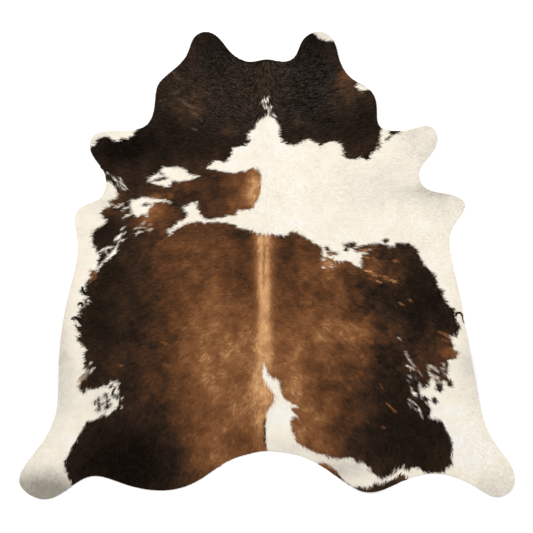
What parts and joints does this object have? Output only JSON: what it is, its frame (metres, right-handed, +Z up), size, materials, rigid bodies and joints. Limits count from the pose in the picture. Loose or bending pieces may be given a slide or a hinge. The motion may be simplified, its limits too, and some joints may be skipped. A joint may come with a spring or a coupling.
{
  "type": "cowhide rug",
  "caption": "Whole cowhide tanned with its hair on, trimmed to the outline of the animal and laid flat as a floor rug, black and brown on cream.",
  "frame": {"origin": "on the floor, in the middle of the hide's width and length", "axes": "+Z up from the floor, +Y along the spine towards the neck, +X across towards the hide's right edge as seen from above"},
  "size_m": [2.1776, 2.0544, 0.0149],
  "materials": {
    "haired_hide": "short glossy hair lying flat on tanned skin, black and brown patches on cream"
  },
  "bodies": {
    "root": {"hide": "haired_hide"}
  },
  "joints": []
}
